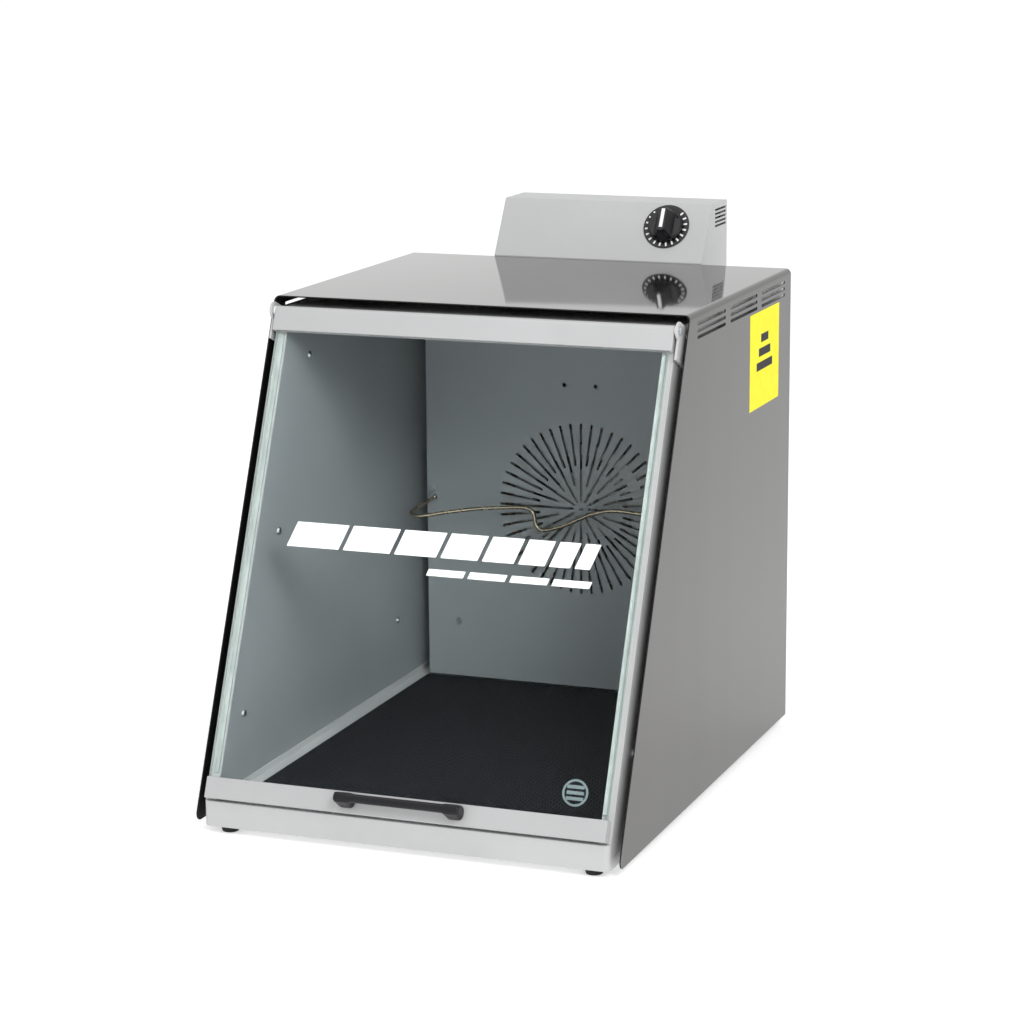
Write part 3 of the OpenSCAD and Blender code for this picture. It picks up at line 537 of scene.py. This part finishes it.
HANDLE_GRAIN = 0.9 * MM
HANDLE_SMOOTHINGS = 6


def make_handle(finishes):
    """The bow handle as one smooth moulding, with its legs flowing into the grip."""
    piece = merged_copy("door_handle", "bow_handle")
    remesh = piece.modifiers.new("remesh", "REMESH")
    remesh.mode = "VOXEL"
    remesh.voxel_size = HANDLE_GRAIN
    remesh.use_smooth_shade = True
    smooth = piece.modifiers.new("smooth", "SMOOTH")
    smooth.factor = 0.5
    smooth.iterations = HANDLE_SMOOTHINGS
    apply_modifiers(piece)
    dress(piece, finishes["black_plastic"], "door", "black_plastic", "door_handle")


PANE_ARRIS = 0.5 * MM
PANE_FACING = 0.9


def make_pane(finishes):
    """The glass with a small arris, and its ground edges in their own finish."""
    piece = soften_edges(merged_copy("door_glass", "glass_pane"), PANE_ARRIS)
    set_material(piece, finishes["door_glass"])
    piece.data.materials.append(make_glass_edge())
    out = Vector((0, -math.cos(SLOPE), math.sin(SLOPE)))
    for face in piece.data.polygons:
        face.material_index = 0 if abs(face.normal.dot(out)) > PANE_FACING else 1
    finish_piece(piece, "door", "door_glass", "door_glass")


# ---------------------------------------------------------------- tubes and leads

def smooth_route(points, steps):
    """Points on a smooth curve through the route's points."""
    made = []
    last = len(points) - 1
    for i in range(last):
        a, b, c, d = (points[max(i - 1, 0)], points[i], points[i + 1], points[min(i + 2, last)])
        for k in range(steps):
            t = k / steps
            made.append(0.5 * (2 * b + (c - a) * t + (2 * a - 5 * b + 4 * c - d) * t * t
                               + (3 * b - a - 3 * c + d) * t ** 3))
    return made + [points[last]]


def sweep(name, routes, diameter, rings=3):
    """Round rods along the routes, with closed ends, as one mesh."""
    data = bpy.data.curves.new(name, "CURVE")
    data.dimensions = "3D"
    data.bevel_depth = diameter / 2
    data.bevel_resolution = rings
    data.use_fill_caps = True
    for route in routes:
        line = data.splines.new("POLY")
        line.points.add(len(route) - 1)
        for point, place in zip(line.points, route):
            point.co = (*place, 1)
    holder = bpy.data.objects.new(name, data)
    bpy.context.collection.objects.link(holder)
    bpy.context.view_layer.update()
    made = holder.evaluated_get(bpy.context.evaluated_depsgraph_get())
    mesh = bpy.data.meshes.new_from_object(made)
    bpy.data.objects.remove(holder)
    shape = bmesh.new()
    shape.from_mesh(mesh)
    bmesh.ops.remove_doubles(shape, verts=shape.verts, dist=ROD_WELD)
    bmesh.ops.recalc_face_normals(shape, faces=shape.faces)
    for face in shape.faces:
        face.smooth = len(face.verts) <= 4
    shape.to_mesh(mesh)
    shape.free()
    return link_piece(name, mesh)


# Routes of the sensor tube and of the leads, in millimetres from the hood's lower back edge.
SENSOR_D = 4.4 * MM
SENSOR_ROUTE = [
    (62, 62, 520), (20, 60, 500), (-60, 40, 470), (-104, 26, 420), (-112, 24, 330),
    (-112, 16, 294), (-112, -4, 288), (-118, -22, 282), (-146, -26, 264), (-170, -28, 246),
    (-179, -38, 239), (-180, -54, 238), (-183, -72, 235), (-188, -90, 231), (-189, -103, 228),
    (-177, -108, 226), (-150, -98, 230), (-118, -86, 234), (-88, -78, 236), (-60, -74, 237),
    (-50, -74, 231), (-47, -74, 218), (-38, -74, 212), (-17, -74, 218), (3, -73, 227),
    (21, -72, 235), (46, -70, 240), (78, -68, 238), (104, -66, 236)]
LEAD_D = 4 * MM
LEAD_ROUTES = [
    [(-82, 74, 92), (-82, 60, 96), (-92, 40, 130), (-96, 30, 240), (-90, 26, 360), (-76, 22, 408)],
    [(-58, 74, 92), (-58, 58, 98), (-74, 38, 140), (-78, 28, 250), (-74, 26, 360), (-64, 22, 408)],
    [(-64, 22, 433), (-56, 30, 462), (0, 48, 486), (50, 62, 500), (70, 60, 524)],
    [(-52, 22, 408), (-40, 30, 380), (-20, 44, 330), (-12, 48, 300)],
    [(-52, 22, 433), (-40, 26, 446), (70, 26, 430), (96, 24, 300), (78, 26, 150), (36, 32, 132),
     (20, 31, 131)]]

# Heater, in millimetres: two turns around the impeller, entered and left just below the turns.
HEATER_D = 6.5
HEATER_R = 94
HEATER_Z = 235
HEATER_Y = (-40, -26)
HEATER_GAP_DEG = 44
HEATER_STEP_DEG = 8
HEATER_LEG_X = 20
HEATER_LEG_DROP = 10
HEATER_LEG_OUT = 24


def heater_route():
    turned = 2 * 360 - HEATER_GAP_DEG
    leg, low = HEATER_LEG_X, HEATER_Z - HEATER_R - HEATER_LEG_DROP
    entry = [(-leg, HEATER_LEG_OUT, low), (-leg, -12, low), (-leg, -32, low),
             (-leg - 3, -38, low + 2)]
    turns = []
    for step in range(0, turned + 1, HEATER_STEP_DEG):
        angle = math.radians(-90 - HEATER_GAP_DEG / 2 - step)
        along = HEATER_Y[0] + (HEATER_Y[1] - HEATER_Y[0]) * step / turned
        turns.append((HEATER_R * math.cos(angle), along, HEATER_Z + HEATER_R * math.sin(angle)))
    leave = [(leg + 3, -24, low + 2), (leg, -18, low), (leg, -6, low), (leg, HEATER_LEG_OUT, low)]
    return [from_back(*point) for point in entry + turns + leave]


def from_back_smooth(route, steps):
    return smooth_route([from_back(*point) for point in route], steps)


def make_tubes(finishes):
    sensor = sweep("sensor_line", [from_back_smooth(SENSOR_ROUTE, 6)], SENSOR_D)
    dress(sensor, finishes["sensor_brass"], "cabinet", "sensor_brass", "sensor_tube")
    wires = sweep("sleeved_leads", [from_back_smooth(route, 8) for route in LEAD_ROUTES], LEAD_D, 2)
    dress(wires, finishes["lead_sleeve"], "cabinet", "lead_sleeve", "internal_leads")
    heater = sweep("heater_rod", [smooth_route(heater_route(), 3)], HEATER_D * MM)
    dress(heater, finishes["heater_sheath"], "cabinet", "heater_sheath", "heating_element")


# ---------------------------------------------------------------- repeated details

def new_tree(name, sizes):
    """Geometry Nodes tree with one named input for each size."""
    tree = bpy.data.node_groups.new(name, "GeometryNodeTree")
    tree.interface.new_socket("Geometry", in_out="OUTPUT", socket_type="NodeSocketGeometry")
    for label, value in sizes.items():
        kind = "NodeSocketInt" if isinstance(value, int) else "NodeSocketFloat"
        tree.interface.new_socket(label, in_out="INPUT", socket_type=kind)
    tree.nodes.new("NodeGroupInput")
    tree.nodes.new("NodeGroupOutput")
    return tree


def tree_input(tree, label):
    return tree.nodes["Group Input"].outputs[label]


def tree_node(tree, kind, inputs=None, **settings):
    """New node in the tree: values go to its sockets, and sockets are linked to them."""
    node = tree.nodes.new(kind)
    for label, value in settings.items():
        setattr(node, label, value)
    for label, value in (inputs or {}).items():
        if isinstance(value, bpy.types.NodeSocket):
            tree.links.new(value, node.inputs[label])
        else:
            node.inputs[label].default_value = value
    return node


def tree_math(tree, operation, a, b=0.0):
    """Result of one arithmetic node on two values or sockets."""
    return tree_node(tree, "ShaderNodeMath", {0: a, 1: b}, operation=operation).outputs[0]


def end_tree(tree, geometry, material):
    real = tree_node(tree, "GeometryNodeRealizeInstances", {"Geometry": geometry})
    painted = tree_node(tree, "GeometryNodeSetMaterial", {"Geometry": real.outputs[0]})
    painted.inputs["Material"].default_value = material
    tree.links.new(painted.outputs[0], tree.nodes["Group Output"].inputs["Geometry"])


def grow(name, tree, sizes, place):
    """Run the tree with these sizes, and keep the result as a plain mesh put in its place."""
    piece = link_piece(name, bpy.data.meshes.new(name))
    modifier = piece.modifiers.new("grow", "NODES")
    modifier.node_group = tree
    for socket in tree.interface.items_tree:
        if socket.in_out == "INPUT":
            modifier[socket.identifier] = sizes[socket.name]
    apply_modifiers(piece)
    piece.data.transform(place)
    return piece


def weave_tree(sizes, material):
    """Plain weave: a pillow on each cell of a grid, turned by a quarter on every other one."""
    tree = new_tree("mat_weave", sizes)
    across, along = tree_input(tree, "Cells across"), tree_input(tree, "Cells along")
    pitch = tree_input(tree, "Pitch")
    grid = tree_node(tree, "GeometryNodeMeshGrid", {
        "Size X": tree_math(tree, "MULTIPLY", tree_math(tree, "SUBTRACT", across, 1), pitch),
        "Size Y": tree_math(tree, "MULTIPLY", tree_math(tree, "SUBTRACT", along, 1), pitch),
        "Vertices X": across, "Vertices Y": along})
    index = tree_node(tree, "GeometryNodeInputIndex").outputs[0]
    column = tree_math(tree, "FLOOR", tree_math(tree, "DIVIDE", index, along))
    row = tree_math(tree, "MODULO", index, along)
    parity = tree_math(tree, "MODULO", tree_math(tree, "ADD", column, row), 2.0)
    quarter = tree_math(tree, "MULTIPLY", parity, math.pi / 2)
    turn = tree_node(tree, "ShaderNodeCombineXYZ", {"Z": quarter})
    half = tree_math(tree, "MULTIPLY", tree_input(tree, "Strand width"), math.sqrt(0.5))
    pillow = tree_node(tree, "GeometryNodeMeshCone", {
        "Vertices": 4, "Radius Top": tree_math(tree, "MULTIPLY", half, 0.55), "Radius Bottom": half,
        "Depth": tree_input(tree, "Height")})
    square = tree_node(tree, "GeometryNodeTransform", {
        "Geometry": pillow.outputs["Mesh"], "Rotation": (0, 0, math.pi / 4)})
    longer = tree_node(tree, "ShaderNodeCombineXYZ", {
        "X": 1.0, "Y": tree_input(tree, "Strand stretch"), "Z": 1.0})
    strand = tree_node(tree, "GeometryNodeTransform", {
        "Geometry": square.outputs["Geometry"], "Scale": longer.outputs[0]})
    cells = tree_node(tree, "GeometryNodeInstanceOnPoints", {
        "Points": grid.outputs["Mesh"], "Instance": strand.outputs["Geometry"],
        "Rotation": turn.outputs[0]})
    end_tree(tree, cells.outputs["Instances"], material)
    return tree


WEAVE_PITCH = 4.6 * MM
WEAVE_STRAND = 3.4 * MM
WEAVE_H = 0.7 * MM


def make_mat_weave(finishes):
    low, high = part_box("floor_mat")
    sizes = {
        "Cells across": int((high.x - low.x) / WEAVE_PITCH),
        "Cells along": int((high.y - low.y) / WEAVE_PITCH),
        "Pitch": WEAVE_PITCH, "Strand width": WEAVE_STRAND, "Strand stretch": 1.5,
        "Height": WEAVE_H}
    tree = weave_tree(sizes, finishes["mat_rubber"])
    middle = Vector(((low.x + high.x) / 2, (low.y + high.y) / 2, high.z))
    piece = grow("mat_weave", tree, sizes, Matrix.Translation(middle))
    for face in piece.data.polygons:
        face.use_smooth = False
    finish_piece(piece, "cabinet", "mat_rubber")


def ring_tree(name, sizes, material):
    """Bars set round a circle, from a first angle clockwise by equal steps."""
    tree = new_tree(name, sizes)
    points = tree_node(tree, "GeometryNodePoints", {"Count": tree_input(tree, "Bars")})
    index = tree_node(tree, "GeometryNodeInputIndex").outputs[0]
    step = tree_math(tree, "MULTIPLY", index, tree_input(tree, "Step"))
    angle = tree_math(tree, "SUBTRACT", tree_input(tree, "First angle"), step)
    turn = tree_node(tree, "ShaderNodeCombineXYZ", {"Z": angle})
    size = tree_node(tree, "ShaderNodeCombineXYZ", {
        "X": tree_input(tree, "Length"), "Y": tree_input(tree, "Width"),
        "Z": tree_input(tree, "Height")})
    bar = tree_node(tree, "GeometryNodeMeshCube", {"Size": size.outputs[0]})
    offset = tree_node(tree, "ShaderNodeCombineXYZ", {"X": tree_input(tree, "Radius")})
    moved = tree_node(tree, "GeometryNodeTransform", {
        "Geometry": bar.outputs["Mesh"], "Translation": offset.outputs[0]})
    ring = tree_node(tree, "GeometryNodeInstanceOnPoints", {
        "Points": points.outputs[0], "Instance": moved.outputs["Geometry"],
        "Rotation": turn.outputs[0]})
    end_tree(tree, ring.outputs["Instances"], material)
    return tree


DIAL_FACE_OUT = 1.5 * MM
DIAL_MARK_R = 22.6 * MM
DIAL_MARK_T = 0.16 * MM
DIAL_MARK_LIFT = 0.06 * MM


def make_dial_marks(finishes):
    """Sixteen marks round the dial plate, from half past one clockwise to half past ten."""
    sizes = {"Bars": 16, "Step": math.radians(18), "First angle": math.radians(45),
             "Radius": DIAL_MARK_R, "Length": 4.2 * MM, "Width": 2 * MM, "Height": DIAL_MARK_T}
    up = Vector((0, math.sin(CONSOLE_SLOPE), math.cos(CONSOLE_SLOPE)))
    out = Vector((1, 0, 0)).cross(up)
    lift = DIAL_FACE_OUT + DIAL_MARK_LIFT
    centre = CONSOLE_LOW + Vector((DIAL_X, 0, 0)) + up * DIAL_S + out * lift
    piece = grow("dial_marks", ring_tree("dial_marks", sizes, finishes["white_plastic"]), sizes,
                 placing(Vector((1, 0, 0)), up, centre))
    finish_piece(piece, "cabinet", "white_plastic")


def coil_tree(sizes, material):
    """Rounded turns of wire side by side along a straight line."""
    tree = new_tree("winding_turns", sizes)
    loop = tree_node(tree, "GeometryNodeCurvePrimitiveQuadrilateral", {
        "Width": tree_input(tree, "Loop width"), "Height": tree_input(tree, "Loop height")})
    rounded = tree_node(tree, "GeometryNodeFilletCurve", {
        "Curve": loop.outputs[0], "Count": 4, "Radius": tree_input(tree, "Corner")}, mode="POLY")
    section = tree_node(tree, "GeometryNodeCurvePrimitiveCircle", {
        "Resolution": 8, "Radius": tree_input(tree, "Wire radius")})
    turn = tree_node(tree, "GeometryNodeCurveToMesh", {
        "Curve": rounded.outputs[0], "Profile Curve": section.outputs[0]})
    pitch = tree_node(tree, "ShaderNodeCombineXYZ", {"Z": tree_input(tree, "Pitch")})
    line = tree_node(tree, "GeometryNodeMeshLine", {
        "Count": tree_input(tree, "Turns"), "Offset": pitch.outputs[0]})
    row = tree_node(tree, "GeometryNodeInstanceOnPoints", {
        "Points": line.outputs[0], "Instance": turn.outputs[0]})
    end_tree(tree, row.outputs["Instances"], material)
    return tree


WIRE_D = 2.2 * MM
WIRE_FILL = 0.49


def make_winding(finishes):
    """Two layers of copper turns around the motor's upper limb."""
    low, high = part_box("motor_winding")
    wire = WIRE_D
    turns = int((high.x - low.x) / wire)
    middle = (low + high) / 2
    for layer, shrink in (("outer", 0.0), ("inner", 2 * wire)):
        sizes = {"Turns": turns, "Pitch": wire, "Wire radius": wire * WIRE_FILL, "Corner": 5 * MM,
                 "Loop width": high.y - low.y - wire - shrink,
                 "Loop height": high.z - low.z - wire - shrink}
        along = placing(Vector((0, 1, 0)), Vector((0, 0, 1)),
                        Vector((low.x + wire / 2, middle.y, middle.z)))
        piece = grow(f"winding_{layer}", coil_tree(sizes, finishes["copper_winding"]), sizes, along)
        for face in piece.data.polygons:
            face.use_smooth = True
        if layer == "outer":
            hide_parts("motor_winding")
        finish_piece(piece, "cabinet", "copper_winding")


# ---------------------------------------------------------------- prints and labels

def plate(outline, thickness):
    """Thin plate with a flat outline of (x, y) points, lying on z = 0, as corners and faces."""
    count = len(outline)
    corners = [(x, y, z) for z in (0, thickness) for x, y in outline]
    sides = [(i, (i + 1) % count, count + (i + 1) % count, count + i) for i in range(count)]
    return corners, [tuple(reversed(range(count))), tuple(range(count, 2 * count))] + sides


def make_plates(name, outlines, thickness, place):
    """Several thin plates as one piece."""
    corners, faces = [], []
    for outline in outlines:
        new_corners, new_faces = plate(outline, thickness)
        faces += [tuple(len(corners) + i for i in face) for face in new_faces]
        corners += new_corners
    mesh = bpy.data.meshes.new(name)
    mesh.from_pydata(corners, [], faces)
    mesh.transform(place)
    return link_piece(name, mesh)


def slanted_bar(left, low, width, height, lean):
    return [(left, low), (left + width, low), (left + width + lean, low + height),
            (left + lean, low + height)]


def disc(radius, count):
    """Points around a circle on the origin."""
    angles = [2 * math.pi * i / count for i in range(count)]
    return [(radius * math.cos(angle), radius * math.sin(angle)) for angle in angles]


def rounded_box(width, height, radius, steps=6):
    """Outline of a rectangle with rounded corners, centred on the origin."""
    points = []
    for corner in range(4):
        angle = corner * math.pi / 2
        x = (width / 2 - radius) * (1 if corner in (0, 3) else -1)
        y = (height / 2 - radius) * (1 if corner in (0, 1) else -1)
        for i in range(steps + 1):
            a = angle + i * math.pi / 2 / steps
            points.append((x + radius * math.cos(a), y + radius * math.sin(a)))
    return points


PRINT_T = 0.12 * MM

# Places on the pane: how far out its prints lie, and how far up the slope.
GLASS_OUT = 13 * MM
BARS_S = 291 * MM
STRIPE_S = 272 * MM
BADGE_X = 178 * MM
BADGE_S = 70 * MM

# Generic bars that narrow to the right, in millimetres.
BAR_WIDTHS = (58, 52, 46, 40, 34, 28, 22, 16)
BAR_LEFT = -168
BAR_GAP = 5
BAR_H = 26
BAR_LEAN = 9


def make_glass_prints():
    """Generic white bars across the pane, a thin stripe under them, and a small round mark."""
    white = make_print("white_ink", (0.93, 0.93, 0.93))
    bars = []
    left = BAR_LEFT * MM
    for width in BAR_WIDTHS:
        bars.append(slanted_bar(left, 0, width * MM, BAR_H * MM, BAR_LEAN * MM))
        left += width * MM + BAR_GAP * MM
    band = make_plates("glass_bars", bars, PRINT_T, slope_frame(0, GLASS_OUT, BARS_S))
    dress(band, white, "door", "white_plastic")
    stripes = [slanted_bar(-10 * MM + i * 45 * MM, 0, 40 * MM, 7 * MM, 2.4 * MM) for i in range(4)]
    stripe = make_plates("glass_stripe", stripes, PRINT_T, slope_frame(0, GLASS_OUT, STRIPE_S))
    dress(stripe, white, "door", "white_plastic")
    grey = make_print("grey_ink", (0.17, 0.215, 0.225), 0.5)
    place = slope_frame(BADGE_X, GLASS_OUT, BADGE_S)
    mark = [slanted_bar(-9 * MM, low * MM, 18 * MM, 3.4 * MM, 0) for low in (-7.5, -1.7, 4.1)]
    badge = make_plates("glass_badge_bars", mark, PRINT_T, place)
    dress(badge, grey, "door", "white_plastic")
    make_badge_ring(grey, place)


def make_badge_ring(material, place):
    """Flat ring around the badge's bars."""
    outer, inner, count = 13.5 * MM, 11.2 * MM, 64
    corners = [(x, y, z) for z in (0, PRINT_T) for r in (outer, inner) for x, y in disc(r, count)]
    faces = []
    for i in range(count):
        j = (i + 1) % count
        low_out, low_in, high_out, high_in = [(k * count + i, k * count + j) for k in range(4)]
        faces.append((low_out[0], low_out[1], high_out[1], high_out[0]))
        faces.append((low_in[1], low_in[0], high_in[0], high_in[1]))
        faces.append((high_out[0], high_out[1], high_in[1], high_in[0]))
        faces.append((low_out[1], low_out[0], low_in[0], low_in[1]))
    mesh = bpy.data.meshes.new("glass_badge_ring")
    mesh.from_pydata(corners, [], faces)
    mesh.transform(place)
    dress(link_piece("glass_badge_ring", mesh), material, "door", "white_plastic")


# The label on the hood's side, in millimetres: its middle and its size. Each bar is half its
# length, and how high it sits.
LABEL_MIDDLE = (0, -102.5, 431.5)
LABEL_SIZE = (111, 105)
LABEL_CORNER = 1
LABEL_BARS = ((14, 18), (22, 3), (30, -12))
LABEL_BAR_H = 9


def make_side_label():
    """Plain yellow label on the hood's right side, with three dark bars."""
    place = placing(Vector((0, 1, 0)), Vector((0, 0, 1)), from_back(*LABEL_MIDDLE))
    place.translation.x = hood_high.x
    width, height = LABEL_SIZE
    shape = rounded_box(width * MM, height * MM, LABEL_CORNER * MM)
    film = make_plates("side_label", [shape], PRINT_T, place)
    dress(film, make_print("yellow_film", (0.94, 0.83, 0.03), 0.45), "cabinet", "white_plastic")
    rows = [slanted_bar(-half * MM, low * MM, 2 * half * MM, LABEL_BAR_H * MM, 0)
            for half, low in LABEL_BARS]
    place.translation.x = hood_high.x + PRINT_T
    bars = make_plates("side_label_bars", rows, PRINT_T / 2, place)
    dress(bars, make_print("dark_ink", (0.016, 0.016, 0.022)), "cabinet", "black_plastic")


# ---------------------------------------------------------------- the object

add_camera()
add_studio()
finishes = make_finishes()
for part in frame["record"]["subparts"]:
    set_material(nodes[part["node"]], finishes[part["material_slot"]])
make_soft_edged_pieces(finishes)
make_handle(finishes)
make_pane(finishes)
make_tubes(finishes)
make_mat_weave(finishes)
make_dial_marks(finishes)
make_winding(finishes)
make_glass_prints()
make_side_label()
